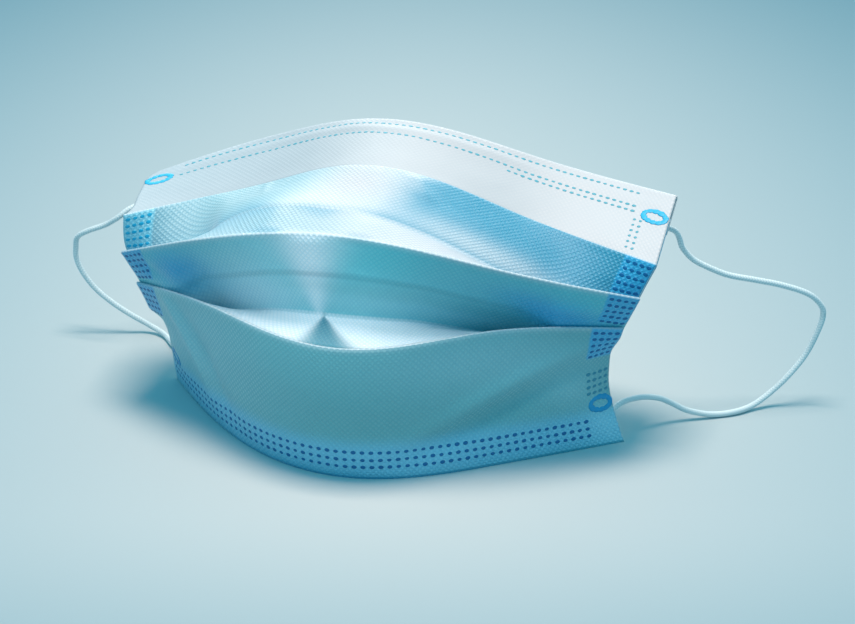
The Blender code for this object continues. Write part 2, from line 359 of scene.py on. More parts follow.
# fold lines, read from the left side (-X) to the right: back in shares of the bow, rise in shares of the
# height, half in shares of the half width
foldLines = {name: dict(zip(("back", "rise", "half"), rows)) for name, *rows in (
    ("top", (0.61, 1.02, 0.83, 0.94, 0.68), (0.745, 0.88, 1.00, 0.88, 0.835), (1.0, 1.0)),
    ("first", (-0.06, 0.38, 0.16, 0.30, 0.05), (0.705, 0.795, 0.945, 0.785, 0.70), (1.0, 1.0)),
    ("second", (-0.13, -0.56, -0.75, -0.53, -0.06), (0.575, 0.76, 0.85, 0.74, 0.59), (1.0, 1.0)),
    ("third", (-0.035, -0.65, -1.00, -0.565, -0.025), (0.44, 0.51, 0.495, 0.515, 0.465), (1.0, 0.97)),
    ("waist", (0.10, -0.63, -1.01, -0.57, 0.05), (0.23, 0.26, 0.25, 0.26, 0.24), (0.995, 0.965)),
    ("hem", (0.25, -0.545, -0.955, -0.53, 0.105), (0, 0, 0, 0, 0), (1.0, 1.0)),
)}

# how far the cloth under each ridge swings out, in degrees
swings = {
    "first": (0, 0, 0, 0, 0),
    "second": (8.0, 80.0, 93.0, 42.0, 0.0),
    "third": (0.0, 68.0, 110.0, 68.0, 0.0),
}

# creases pressed into a panel: across -1 to 1, then mm: down from its head, half length, half width, lift;
# turn in degrees, where a positive turn sinks towards the right
dentColumns = ("panel", "across", "down", "long", "wide", "turn", "lift")
dents = [dict(zip(dentColumns, row)) for row in (
    ("second", 0, 13.2, 62, 0.60, 0, -0.40),
    ("second", -0.13, 10, 22, 7, 90, 0.9),
    ("second", 0.05, 12, 30, 5, 84, -0.5),
    ("second", -0.30, 12, 30, 5, 96, -0.5),
    ("second", -0.84, 9, 12, 2.4, 30, -0.7),
    ("second", 0.78, 8, 14, 2.2, -14, 0.6),
    ("second", 0.80, 12, 14, 2.2, 4, -0.8),
    ("lower", 0.60, 17, 26, 3, -22, 1.3),
    ("lower", 0.58, 24, 28, 4, -20, -1.5),
    ("lower", -0.74, 15, 18, 2.6, 58, 1.2),
    ("lower", -0.62, 18, 20, 3, 52, -1),
    ("lower", 0.05, 26, 40, 7, 8, -0.6),
    ("first", -0.46, 8, 14, 1.2, 80, 0.3),
    ("first", 0.20, 9, 12, 2.2, 50, 0.45),
    ("bandFace", 0, 5, 70, 1.6, 0, 0.30),
)]

# soft waves all over the panels, and the run over which they fade towards a panel's foot
waves = {"across": 3.2, "down": 0.027, "height": 0.00035, "finer": 3.1, "finerHeight": 0.00012,
         "footRun": 0.003}

# the side seam of the lower panel turns back towards the wearer below the folded layers
notch = {"from": 0.84, "full": 0.93, "ease": 0.45,
         "left": {"turn": 15.0, "start": 0.24, "deepest": 0.38},
         "right": {"turn": 18.0, "start": 0.02, "deepest": 0.27}}

shares = np.linspace(-1.0, 1.0, cloth["stations"])


def smoothRow(values, places):
    # a natural cubic through evenly spaced values
    count = len(values)
    step = 2.0 / (count - 1)
    system, load = np.eye(count), np.zeros(count)
    for i in range(1, count - 1):
        system[i, i - 1:i + 2] = (1.0, 4.0, 1.0)
        load[i] = 6.0 * (values[i - 1] - 2.0 * values[i] + values[i + 1]) / step ** 2
    bend = np.linalg.solve(system, load)
    values = np.asarray(values, dtype=float)
    place = (np.asarray(places) + 1.0) / step
    i = np.clip(np.floor(place).astype(int), 0, count - 2)
    t = place - i
    cubic = (1.0 - t) ** 3 * bend[i] + t ** 3 * bend[i + 1]
    linear = (1.0 - t) * bend[i] + t * bend[i + 1]
    return (1.0 - t) * values[i] + t * values[i + 1] + (cubic - linear) * step ** 2 / 6.0


def foldLine(line):
    # the cloth doesn't stretch, so x follows from its length
    y = cloth["bow"] * smoothRow(line["back"], shares)
    z = cloth["height"] * smoothRow(line["rise"], shares)
    middles = 0.5 * (shares[1:] + shares[:-1])
    length = halfWidth * np.where(middles < 0.0, *line["half"]) * np.diff(shares)
    least = 0.05 * length ** 2
    run = np.sqrt(np.maximum(length ** 2 - np.diff(y) ** 2 - np.diff(z) ** 2, least))
    x = np.concatenate(([0.0], np.cumsum(run)))
    x -= x[len(shares) // 2]
    return np.column_stack((x, y, z)) + tableOrigin


def inwardOf(line, down):
    return unit(np.cross(unit(np.gradient(line, axis=0)), down))


def swingOf(name):
    window = ramp(halfWidth * (1.0 - np.abs(shares)), cloth["seam"], cloth["seam"] + cloth["openingRun"])
    return np.radians(np.maximum(smoothRow(swings[name], shares), 0.0)) * window


def partWay(rows, run):
    # the place on each column of a panel, `run` metres below its head
    steps = np.linalg.norm(np.diff(rows, axis=0), axis=2)
    reach = np.vstack((np.zeros(rows.shape[1]), np.cumsum(steps, axis=0)))
    places = np.empty(rows.shape[1:])
    for j in range(rows.shape[1]):
        for k in range(3):
            places[j, k] = np.interp(run, reach[:, j], rows[:, j, k])
    return places


def pleatUnder(panel, swing, count):
    # the strip tucked under a panel's ridge follows the panel, swung about the ridge where the pleat is open
    ridge = panel[0]
    runs = np.linspace(0.0, cloth["pleat"], count)
    layer = np.array([partWay(panel, run) for run in runs]) - ridge
    down = unit(layer[-1])
    inward = inwardOf(ridge, down)
    cos, sin = np.cos(swing)[:, None], np.sin(swing)[:, None]
    sunk = np.sum(layer * inward, axis=2, keepdims=True)
    level = layer - sunk * inward
    reach = np.linalg.norm(level, axis=2, keepdims=True)
    back = ridge + pitch * inward
    strip = back + cos * level + sin * reach * inward + sunk * (cos * inward - sin * down)
    frontValley = strip[-1]
    backValley = frontValley + pitch * (cos * inward - sin * down)
    straight = back + (runs / cloth["pleat"])[:, None, None] * (frontValley - back)
    return {"ridge": ridge, "back": back, "frontValley": frontValley, "backValley": backValley,
            "down": down, "inward": inward, "strip": strip, "sag": strip - straight,
            "shut": np.clip(1.0 - swing / cloth["openSwing"], 0.0, 1.0)[:, None],
            "crest": -(0.5 + 0.5 * cos) * down, "hollow": unit(strip[-1] - strip[-2])}


def passBehind(pleat, upperRidge):
    span = upperRidge - pleat["backValley"]
    share = cloth["pleat"] / np.linalg.norm(span, axis=1, keepdims=True)
    place = pleat["backValley"] + np.minimum(share, 0.5) * span
    depth = np.sum((place - pleat["ridge"]) * pleat["inward"], axis=1, keepdims=True)
    return place + np.maximum(2.0 * pitch - depth, 0.0) * pleat["inward"]


def panelAbove(pleat, upperRidge, step):
    # from the upper ridge down behind the lower one, and on beside the strip to the valley
    level = passBehind(pleat, upperRidge)
    upper = throughStops((upperRidge, level), step)
    tucked = []
    for i, t in enumerate(np.linspace(0.0, 1.0, len(pleat["sag"]))[1:], 1):
        tucked.append(level + t * (pleat["backValley"] - level) + pleat["shut"] * pleat["sag"][i])
    return np.concatenate((upper, tucked))


def throughStops(stops, step):
    # rows through the stops, straight from one to the next
    lengths = [np.linalg.norm(b - a, axis=1).mean() for a, b in zip(stops, stops[1:])]
    places = np.concatenate(([0.0], np.cumsum(lengths)))
    count = max(int(round(places[-1] / step)), 2)
    rows = []
    for place in np.linspace(0.0, places[-1], count + 1):
        i = min(int(np.searchsorted(places, place, side="right")) - 1, len(stops) - 2)
        t = (place - places[i]) / lengths[i]
        rows.append((1.0 - t) * stops[i] + t * stops[i + 1])
    return np.array(rows)


def softRows(start, middle, end, step):
    # rows on a parabola from start to end that passes through the middle row
    upper = np.linalg.norm(middle - start, axis=1).mean()
    length = upper + np.linalg.norm(end - middle, axis=1).mean()
    half = upper / length
    rows = []
    for t in np.linspace(0.0, 1.0, int(round(length / step)) + 1):
        a = (t - half) * (t - 1.0) / half
        b = t * (t - 1.0) / (half * (half - 1.0))
        c = t * (t - half) / (1.0 - half)
        rows.append(a * start + b * middle + c * end)
    return np.array(rows)


def ramp(value, low, high):
    t = np.clip((value - low) / (high - low), 0.0, 1.0)
    return t * t * (3.0 - 2.0 * t)


def turnBack(rows):
    # bends both side strips of the lower panel round towards the wearer, most at the notch
    middle = len(shares) // 2
    reach = ramp(np.abs(0.5 * (shares[1:] + shares[:-1])), notch["from"], notch["full"])
    turned = []
    for t, row in zip(np.linspace(0.0, 1.0, len(rows)), rows):
        left, right = (side["turn"] * ramp(t, side["start"], side["deepest"])
                       for side in (notch["left"], notch["right"]))
        window = reach * (1.0 - ramp(t, notch["ease"], 1.0))
        angle = np.radians(np.where(shares[1:] > 0.0, right, -left) * window)
        step = np.diff(row, axis=0)
        step = np.column_stack((np.cos(angle) * step[:, 0] - np.sin(angle) * step[:, 1],
                                np.sin(angle) * step[:, 0] + np.cos(angle) * step[:, 1], step[:, 2]))
        line = np.vstack((np.zeros(3), np.cumsum(step, axis=0)))
        turned.append(line - line[middle] + row[middle])
    return np.array(turned)


def foldRows(start, end, bulge, steps=3):
    # the rounded fold between two layers
    middle, radius = 0.5 * (start + end), 0.5 * (end - start)
    size = np.linalg.norm(radius, axis=1, keepdims=True)
    rows = []
    for i in range(1, steps + 1):
        angle = math.pi * i / (steps + 1)
        rows.append(middle - math.cos(angle) * radius + math.sin(angle) * size * bulge)
    return np.array(rows)


def panelNormals(rows):
    # towards the wearer
    return unit(np.cross(unit(np.gradient(rows, axis=1)), unit(np.gradient(rows, axis=0))))


def downPanel(rows):
    # a panel's mean length from head to foot, and each row's place on it
    length = np.linalg.norm(np.diff(rows, axis=0), axis=2).sum(axis=0).mean()
    return length, np.linspace(0.0, length, len(rows))[:, None]


def turnedPlaces(spot, down):
    # mm down from a spot's middle, then mm along and across its own turned axes
    du = (shares[None, :] - spot["across"]) * 1000.0 * halfWidth
    dv = 1000.0 * down - spot["down"]
    cos, sin = math.cos(math.radians(spot["turn"])), math.sin(math.radians(spot["turn"]))
    return dv, du * cos + dv * sin, dv * cos - du * sin


def pressPanel(name, rows, headRun, footRest):
    # the creases and soft waves of one panel, which fade out towards its folds (runs and rests in metres)
    length, down = downPanel(rows)
    lift = np.zeros(rows.shape[:2])
    for dent in dents:
        if dent["panel"] == name:
            _, a, b = turnedPlaces(dent, down)
            lift += 0.001 * dent["lift"] * np.exp(-(a / dent["long"]) ** 2 - (b / dent["wide"]) ** 2)
    for i in range(len(rows)):
        for j in range(len(shares)):
            place = Vector((shares[j] * waves["across"], down[i, 0] / waves["down"], len(name)))
            finer = waves["finerHeight"] * noise.noise(place * waves["finer"])
            lift[i, j] += waves["height"] * noise.noise(place) + finer
    foot = length - footRest
    window = ramp(down, 0.0, headRun) * (1.0 - ramp(down, foot - waves["footRun"], foot))
    return rows - (window * lift)[:, :, None] * panelNormals(rows)


lines = {name: foldLine(line) for name, line in foldLines.items()}
step, hidden = cloth["rowStep"], cloth["hiddenStep"]
stripRows = int(round(cloth["pleat"] / step))

lowerPanel = turnBack(softRows(lines["third"], lines["waist"], lines["hem"], step))
lowerPanel = pressPanel("lower", lowerPanel, 0.004, 0.0)
third = pleatUnder(lowerPanel, swingOf("third"), stripRows)
secondPanel = pressPanel("second", panelAbove(third, lines["second"], step), 0.002, cloth["pleat"])
second = pleatUnder(secondPanel, swingOf("second"), stripRows)
firstPanel = pressPanel("first", panelAbove(second, lines["first"], step), 0.002, cloth["pleat"])
first = pleatUnder(firstPanel, swingOf("first"), 7)


def roundValley(panel, pleat, rowsNear=6, rounds=14):
    # rounds the valley between a panel and the strip below it where the pleat is open
    fold = foldRows(pleat["backValley"], pleat["frontValley"], pleat["hollow"])
    joined = np.concatenate((panel, fold, pleat["strip"][::-1]))
    places = np.arange(len(joined)) - (len(panel) + 1)
    share = (0.5 * (1.0 - ramp(np.abs(places), rowsNear - 2.0, rowsNear + 1.0)))[1:-1, None, None]
    for _ in range(rounds):
        middle = 0.5 * (joined[:-2] + joined[2:])
        joined[1:-1] += share * (1.0 - pleat["shut"]) * (middle - joined[1:-1])
    return np.split(joined, (len(panel), len(panel) + len(fold)))


# the left end of the first panel reaches out to the second ridge's corner
lean = {"from": 0.70, "most": 0.0023}
downFirst = np.linspace(0.0, math.pi, len(firstPanel))[:, None, None]
firstPanel = firstPanel - (lean["most"] * np.sin(downFirst) * ramp(-shares, lean["from"], 1.0)[None, :, None]
                           * unit(np.gradient(firstPanel, axis=1)))
firstPanel, firstFoot, secondStrip = roundValley(firstPanel, second)
secondPanel, secondFoot, thirdStrip = roundValley(secondPanel, third)

topDown = unit(lines["first"] - lines["top"])
bendSine = np.linalg.norm(np.cross(topDown, first["down"]), axis=1, keepdims=True)
bend = first["ridge"] + 2.0 * pitch * first["inward"] + 1.5 * pitch * bendSine * first["down"]
topDown = unit(bend - lines["top"])
topInward = inwardOf(lines["top"], topDown)

coverPanels = [
    ("tuck", throughStops((lines["top"] + cloth["tuck"] * topDown, bend), hidden)),
    ("tuckEnd", throughStops((bend, first["backValley"]), hidden)[1:]),
    ("fold", foldRows(first["backValley"], first["frontValley"], first["hollow"])),
    ("firstStrip", first["strip"][::-1]),
    ("fold", foldRows(first["back"], first["ridge"], first["crest"])),
    ("first", firstPanel),
    ("fold", firstFoot),
    ("secondStrip", secondStrip),
    ("fold", foldRows(second["back"], second["ridge"], second["crest"])),
    ("second", secondPanel),
    ("fold", secondFoot),
    ("thirdStrip", thirdStrip),
    ("fold", foldRows(third["back"], third["ridge"], third["crest"])),
    ("lower", lowerPanel),
]

bandOffset = cloth["bandLift"] * pitch * topInward
toRidge = np.sum((first["ridge"] - lines["top"]) * topDown, axis=1, keepdims=True)
bandEdge = lines["top"] + (toRidge - 0.5 * pitch) * topDown
bandPanels = [
    ("bandTurn", throughStops((lines["top"] + bandOffset + cloth["bandTurn"] * topDown,
                               lines["top"] + bandOffset), step)),
    ("fold", foldRows(lines["top"] + bandOffset, lines["top"] - bandOffset, -topDown)),
    ("bandFace", pressPanel("bandFace", throughStops((lines["top"] - bandOffset,
                                                      bandEdge - bandOffset), step), 0.002, 0.0)),
]

# the left corner is rounded, and the side edge draws in above the ridge: share of the way down, mm inwards
corner = {"from": 0.86, "places": (0.0, 0.06, 0.16, 0.35, 0.60, 0.80, 0.92, 1.0),
          "inwards": (1.8, -0.6, -0.9, -0.3, 0.6, 1.6, 1.4, 0.2), "below": 0.5, "tuckFrom": 0.35}


def shapeCorner(name, rows):
    window = ramp(-shares, corner["from"], 1.0)[:, None]
    shaped = []
    for i, row in enumerate(rows):
        down = i / (len(rows) - 1)
        if name == "bandTurn":
            down = 0.0
        if name == "tuck":
            down = corner["tuckFrom"] + (1.0 - corner["tuckFrom"]) * down
        inwards = np.interp(down, corner["places"], corner["inwards"])
        if name != "bandFace":
            inwards += corner["below"]
        shaped.append(row + 0.001 * window * inwards * unit(row[1] - row[0]))
    return np.array(shaped)


coverPanels = [(name, shapeCorner(name, rows) if name == "tuck" else rows) for name, rows in coverPanels]
bandPanels = [(name, shapeCorner(name, rows)) for name, rows in bandPanels]
print("folds laid out")

# the colour laid over the cloth, with painted light and shade: each panel's own tone, some of them lit or
# shaded copies of the one blue, paler where it faces up as a painted highlight, and soft patches of another
# tone, painted highlights and shade

# sky, white and seam are the cloth's own colours; the other tones paint light and shade: the paler ones
# painted highlights, the darker ones painted shade, and hem painted light bounced from the floor onto the hem
tones = {
    "sky": (0.17, 0.50, 0.68), "clear": (0.33, 0.65, 0.71), "valley": (0.03, 0.24, 0.32),
    "litTeal": (0.11, 0.60, 0.665), "shadedTeal": (0.14, 0.455, 0.495), "shadedDeep": (0.01, 0.39, 0.69),
    "litPale": (0.60, 0.66, 0.70), "seam": (0.03, 0.45, 0.76), "litSeam": (0.36, 0.78, 0.90),
    "white": (0.44, 0.475, 0.505), "litGrey": (0.54, 0.52, 0.55), "litMist": (0.34, 0.53, 0.59),
    "litWhite": (0.88, 0.92, 0.95), "shade": (0.27, 0.43, 0.51), "hem": (0.18, 0.62, 0.88),
    "shadedBlue": (0.03, 0.32, 0.48),
}
# the first, second and lower panels take lit or shaded copies of the blue, painted light and shade for how
# the light falls on each
panelTones = {
    "tuck": "sky", "tuckEnd": "sky", "firstStrip": "sky", "first": "shadedBlue", "secondStrip": "sky",
    "second": "litTeal", "thirdStrip": "sky", "lower": "shadedTeal", "bandTurn": "white", "bandFace": "white",
}
# a painted highlight: panels paler where they face up, towards the light
litFacingUp = {"low": 0.88, "high": 0.985, "tone": "litPale", "panels": ("first", "secondStrip")}

# soft patches of painted light and shade: the paler ones painted highlights and lit spots, the darker ones
# painted shade in creases, pockets and the third ledge's dip, and painted contact shadow along the hem's foot
# across -1 to 1; mm down from the head, or up from the foot if negative; half sizes in mm; strength 0 to 1;
# edge, 1 soft to 4 crisp; turn in degrees; flare, the growth of the half length per mm down
patchColumns = ("panel", "across", "down", "long", "wide", "tone", "strength", "edge", "turn", "flare")
plainPatch = {"edge": 1, "turn": 0, "flare": 0}
patches = [{**plainPatch, **dict(zip(patchColumns, row))} for row in (
    # painted shade on the band's left end, painted light on its right end
    ("bandFace", -0.95, 12, 70, 40, "shade", 0.55),
    ("bandFace", 0.95, 14, 40, 40, "litPale", 0.4),
    ("first", -0.70, 6, 45, 16, "clear", 0.85),
    ("first", -0.75, 8, 30, 14, "litPale", 0.35),
    ("first", -0.08, 8, 15, 14, "litGrey", 1),
    ("first", -0.46, 6, 26, 9, "litMist", 0.7, 1, -6),
    ("first", 0.46, -4, 34, 5.5, "litPale", 0.75),
    ("secondStrip", 0.30, 7, 50, 14, "litGrey", 0.95),
    ("secondStrip", -0.34, 7, 40, 9, "litMist", 0.7),
    ("second", 0, 21, 200, 9, "clear", 0.8),
    ("second", -0.42, 6, 24, 10, "clear", 0.7),
    ("second", 0.45, 7, 20, 9, "clear", 0.3, 1, 6),
    ("second", -0.55, 20, 22, 11, "litWhite", 0.6),
    # a painted highlight streak down the middle of the second panel
    ("second", -0.14, 9, 8.5, 24, "litWhite", 1, 1, 0, -0.045),
    ("second", -0.74, 15, 12, 5, "litSeam", 0.5),
    # painted shade in the pockets by both side seams
    ("second", -0.74, 7.5, 12, 6, "shadedDeep", 0.85, 1, 10),
    ("second", 0.74, 10, 17, 5, "shadedDeep", 1, 1, 6),
    # a painted highlight along the second ridge, then painted shade along the crease below it
    ("second", 0, 0.2, 300, 0.7, "litPale", 0.55, 2),
    ("second", 0, 13, 70, 0.8, "valley", 0.45),
    ("second", 0.30, 16.5, 45, 3, "shadedTeal", 0.35, 2),
    ("thirdStrip", -0.10, 6, 100, 18, "litWhite", 1),
    # painted shade on the dip in the third ledge
    ("thirdStrip", -0.070, 7, 4.9, 30, "valley", 0.95, 2, -28, 0.13),
    ("lower", 0, 0.2, 300, 0.7, "litPale", 0.55, 2),
    ("lower", -0.76, 14, 36, 26, "clear", 0.8),
    ("lower", 0.50, 8, 36, 10, "clear", 0.65, 1, 6),
    ("lower", 0.84, 22, 10, 6, "clear", 0.4),
    # painted light bounced from the floor on the hem strip, then a line of painted contact shadow along the
    # hem's foot
    ("lower", 0, -6, 300, 6.6, "hem", 0.72, 2),
    ("lower", -0.30, -0.2, 75, 0.7, "shadedDeep", 0.8, 2),
    ("lower", 0.96, -6, 9, 8, "litSeam", 0.5),
)]

# the side seams' tone, darker for the welded plies, and on the left first panel paler as a painted highlight:
# how far in from the side and how far down from each panel's head
sideSeam = {"reach": 0.0102, "depth": 0.0112, "blur": 0.0004, "strength": 0.9,
            "left": {"first": "litSeam", "second": "seam", "lower": "seam"},
            "right": {"first": "seam", "second": "seam", "lower": "seam"}}
# painted highlight on the folds: how far ridges and valleys pale
foldHighlight = {"ridge": 0.65, "valley": 0.3}


def soften(colours, share, tone):
    return colours + share[..., None] * (np.array(tones[tone]) - colours)


def toneAndShadingOf(name, rows):
    length, down = downPanel(rows)
    colours = np.ones((*rows.shape[:2], 3)) * tones[panelTones[name]]
    # painted highlight where the panel faces up
    if name in litFacingUp["panels"]:
        up = -panelNormals(rows)[:, :, 2]
        colours = soften(colours, ramp(up, litFacingUp["low"], litFacingUp["high"]), litFacingUp["tone"])
    # patches of painted light and shade
    for patch in patches:
        if patch["panel"] == name:
            dv, a, b = turnedPlaces(patch, down - (length if patch["down"] < 0.0 else 0.0))
            long = patch["long"] * np.maximum(1.0 + patch["flare"] * dv, 0.05)
            oval = ((a / long) ** 2 + (b / patch["wide"]) ** 2) ** patch["edge"]
            colours = soften(colours, patch["strength"] * np.exp(-oval), patch["tone"])
    fromEdge = halfWidth * (1.0 - np.abs(shares))[None, :]
    edge = 1.0 - ramp(fromEdge, sideSeam["reach"] - sideSeam["blur"], sideSeam["reach"])
    seam = sideSeam["strength"] * edge * (down < sideSeam["depth"])
    for side, near in (("left", shares < 0.0), ("right", shares > 0.0)):
        if name in sideSeam[side]:
            colours = soften(colours, seam * near[None, :], sideSeam[side][name])
    return colours


def tonesAndShading(panels):
    # folds take the tone of what they join, ridges a little paler and valleys less, as a painted highlight
    known = [toneAndShadingOf(name, rows) if name != "fold" else None for name, rows in panels]
    for i, (name, rows) in enumerate(panels):
        if name == "fold":
            joined = 0.5 * (known[i - 1][-1] + known[i + 1][0])
            paler = foldHighlight["ridge" if panels[i - 1][0].endswith("Strip") else "valley"]
            tone = soften(joined, np.full(len(shares), paler), "litPale")
            known[i] = np.repeat(tone[None], len(rows), axis=0)
    return np.concatenate(known)


def finished(piece):
    # the evaluated shape as a plain mesh, its modifiers gone
    graph = bpy.context.evaluated_depsgraph_get()
    graph.update()
    plain = bpy.data.meshes.new_from_object(piece.evaluated_get(graph), preserve_all_data_layers=True,
                                            depsgraph=graph)
    piece.modifiers.clear()
    piece.data = plain
    return piece


def gridMesh(name, grid):
    # a mesh over rows of points
    count, columns = grid.shape[:2]
    index = np.arange(count * columns).reshape(count, columns)
    faces = np.stack((index[:-1, :-1], index[1:, :-1], index[1:, 1:], index[:-1, 1:]), axis=-1).reshape(-1, 4)
    mesh = bpy.data.meshes.new(name)
    mesh.from_pydata(grid.reshape(-1, 3).tolist(), [], faces.tolist())
    return mesh, faces


def walled(piece, thickness, innerMaterial=0):
    thick = piece.modifiers.new("wall", "SOLIDIFY")
    thick.thickness = thickness
    thick.offset = 0.0
    thick.material_offset = innerMaterial
    return finished(piece)


def panelsPiece(name, panels, materials):
    # one sheet through all its panels; the last material is the inner side's
    grid = np.concatenate([rows for _, rows in panels])
    run = np.linalg.norm(np.diff(grid, axis=0), axis=2).mean(axis=1)
    along = np.concatenate(([0.0], np.cumsum(run)))
    across = halfWidth * (shares + 1.0)
    mesh, faces = gridMesh(name, grid)
    layer = mesh.uv_layers.new(name="cloth")
    flat = np.stack(np.meshgrid(across, -along), axis=-1).reshape(-1, 2)
    layer.data.foreach_set("uv", flat[faces.reshape(-1)].reshape(-1).astype(np.float32))
    # the colour layer, with its painted light and shade
    toneAndShading = mesh.attributes.new("toneAndShading", "FLOAT_COLOR", "POINT")
    colours = np.concatenate((tonesAndShading(panels), np.ones((*grid.shape[:2], 1))), axis=2)
    toneAndShading.data.foreach_set("color", colours.reshape(-1).astype(np.float32))
    piece = walled(addObject(name, mesh, materials), cloth["wall"], len(materials) - 1)
    return piece, float(along[-1])


cover, coverLength = panelsPiece("cloth_cover", coverPanels, [blueCloth, liningCloth])
band, bandLength = panelsPiece("nose_band_cloth", bandPanels, [whiteCloth])
print("cover", round(coverLength, 4), "m of cloth,", len(cover.data.polygons), "faces")
print("band", round(bandLength, 4), "m of cloth,", len(band.data.polygons), "faces")
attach(cover, "root")
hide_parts("pleated_cover")
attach(band, "root")
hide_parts("nose_band")

# the nose wire, a flat strip between the band and the cover

noseWire = {"length": 0.100, "width": 0.0040, "thickness": 0.0003, "drop": 0.0024, "lift": 0.55,
            "rows": 5, "columns": 61}


def wirePiece():
    reach = noseWire["length"] / cloth["width"]
    own = np.linspace(-reach, reach, noseWire["columns"])
    rows = []
    for drop in np.linspace(noseWire["drop"], noseWire["drop"] + noseWire["width"], noseWire["rows"]):
        edge = lines["top"] + drop * topDown - noseWire["lift"] * pitch * topInward
        rows.append(np.column_stack([np.interp(own, shares, edge[:, k]) for k in range(3)]))
    mesh, _ = gridMesh("nose_wire_strip", np.array(rows))
    return walled(addObject("nose_wire_strip", mesh, [wireMetal]), noseWire["thickness"])


wire = wirePiece()
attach(wire, "root")
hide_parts("nose_wire")

# weld marks, on points laid out over the cloth

grids = {name: (rows, panelNormals(rows)) for name, rows in coverPanels + bandPanels if name != "fold"}


def onCloth(panel, across, down):
    # the outer side of a panel, `down` metres below its head, or above its foot where it is negative
    rows, normals = grids[panel]
    c = (np.clip(across, -1.0, 1.0) + 1.0) * 0.5 * (len(shares) - 1)
    c0 = min(int(c), len(shares) - 2)
    column = (1.0 - c + c0) * rows[:, c0] + (c - c0) * rows[:, c0 + 1]
    run = runOf(column)
    r = np.interp(down if down >= 0.0 else run[-1] + down, run, np.arange(len(rows)))
    r0 = min(int(r), len(rows) - 2)
    place = (1.0 - r + r0) * column[r0] + (r - r0) * column[r0 + 1]
    out = -unit(normals[r0, c0] + normals[r0 + 1, c0 + 1])
    along = unit(rows[r0, c0 + 1] - rows[r0, c0])
    return place + 0.5 * cloth["wall"] * out, out, along


def rowOfDots(panel, down, start, welds):
    count = int(round((welds["end"] - start) * halfWidth / welds["spacing"]))
    return [onCloth(panel, across, down) for across in np.linspace(start, welds["end"], count + 1)]


def dotTree(name):
    tree = bpy.data.node_groups.new(name, "GeometryNodeTree")
    face = tree.interface
    face.new_socket("Geometry", in_out="INPUT", socket_type="NodeSocketGeometry")
    for label in ("Dot Length", "Dot Width", "Dot Height", "Uneven"):
        face.new_socket(label, in_out="INPUT", socket_type="NodeSocketFloat")
    face.new_socket("Seed", in_out="INPUT", socket_type="NodeSocketInt")
    face.new_socket("Finish", in_out="INPUT", socket_type="NodeSocketMaterial")
    face.new_socket("Geometry", in_out="OUTPUT", socket_type="NodeSocketGeometry")
    maker = Maker(tree)
    given = maker.node("NodeGroupInput")
    take = {socket.name: Value(maker, socket) for socket in given.outputs if socket.name}
    ball = maker.out("GeometryNodeMeshUVSphere", None, {"Segments": 8, "Rings": 4, "Radius": 0.5})
    size = maker.out("ShaderNodeCombineXYZ", None,
                     {0: take["Dot Length"], 1: take["Dot Width"], 2: take["Dot Height"] * 2.0})
    dot = maker.out("GeometryNodeTransform", None, {"Geometry": ball, "Scale": size})
    outward, along = (maker.out("GeometryNodeInputNamedAttribute", {"data_type": "FLOAT_VECTOR"},
                                {"Name": label}) for label in ("outward", "along"))
    upright = maker.out("FunctionNodeAlignRotationToVector", {"axis": "Z"}, {"Vector": outward})
    turned = maker.out("FunctionNodeAlignRotationToVector", {"axis": "X", "pivot_axis": "Z"},
                       {"Rotation": upright, "Vector": along})
    spread = maker.out("FunctionNodeRandomValue", {"data_type": "FLOAT"},
                       {2: 1.0 - take["Uneven"], 3: 1.0 + take["Uneven"], "Seed": take["Seed"]}, 1)
    placed = maker.out("GeometryNodeInstanceOnPoints", None,
                       {"Points": take["Geometry"], "Instance": dot, "Rotation": turned, "Scale": spread})
    real = maker.out("GeometryNodeRealizeInstances", None, {"Geometry": placed})
    coated = maker.out("GeometryNodeSetMaterial", None, {"Geometry": real, "Material": take["Finish"]})
    maker.node("NodeGroupOutput", None, {"Geometry": coated})
    return tree


weldTree = dotTree("weldDots")


def dotPiece(name, places, settings, finish):
    mesh = bpy.data.meshes.new(name)
    mesh.from_pydata([tuple(place) for place, _, _ in places], [], [])
    for label, column in (("outward", 1), ("along", 2)):
        attribute = mesh.attributes.new(label, "FLOAT_VECTOR", "POINT")
        vectors = np.array([row[column] for row in places], np.float32)
        attribute.data.foreach_set("vector", vectors.reshape(-1))
    piece = bpy.data.objects.new(name, mesh)
    bpy.context.scene.collection.objects.link(piece)
    modifier = piece.modifiers.new("dots", "NODES")
    modifier.node_group = weldTree
    sockets = {item.name: item.identifier for item in weldTree.interface.items_tree if item.in_out == "INPUT"}
    for label, value in settings.items():
        modifier[sockets[label]] = value
    modifier[sockets["Finish"]] = finish
    finished(piece)
    piece.data.shade_smooth()
    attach(piece, "root")
    print(name, len(places), "marks,", len(piece.data.polygons), "faces")
    return piece


def dotSizes(*values):
    return dict(zip(("Dot Length", "Dot Width", "Dot Height", "Uneven", "Seed"), values))


def fromSide(side, inwards):
    # the place across, -1 to 1, that lies so many metres in from the left (-1) or right (1) edge
    return side * (1.0 - inwards / halfWidth)


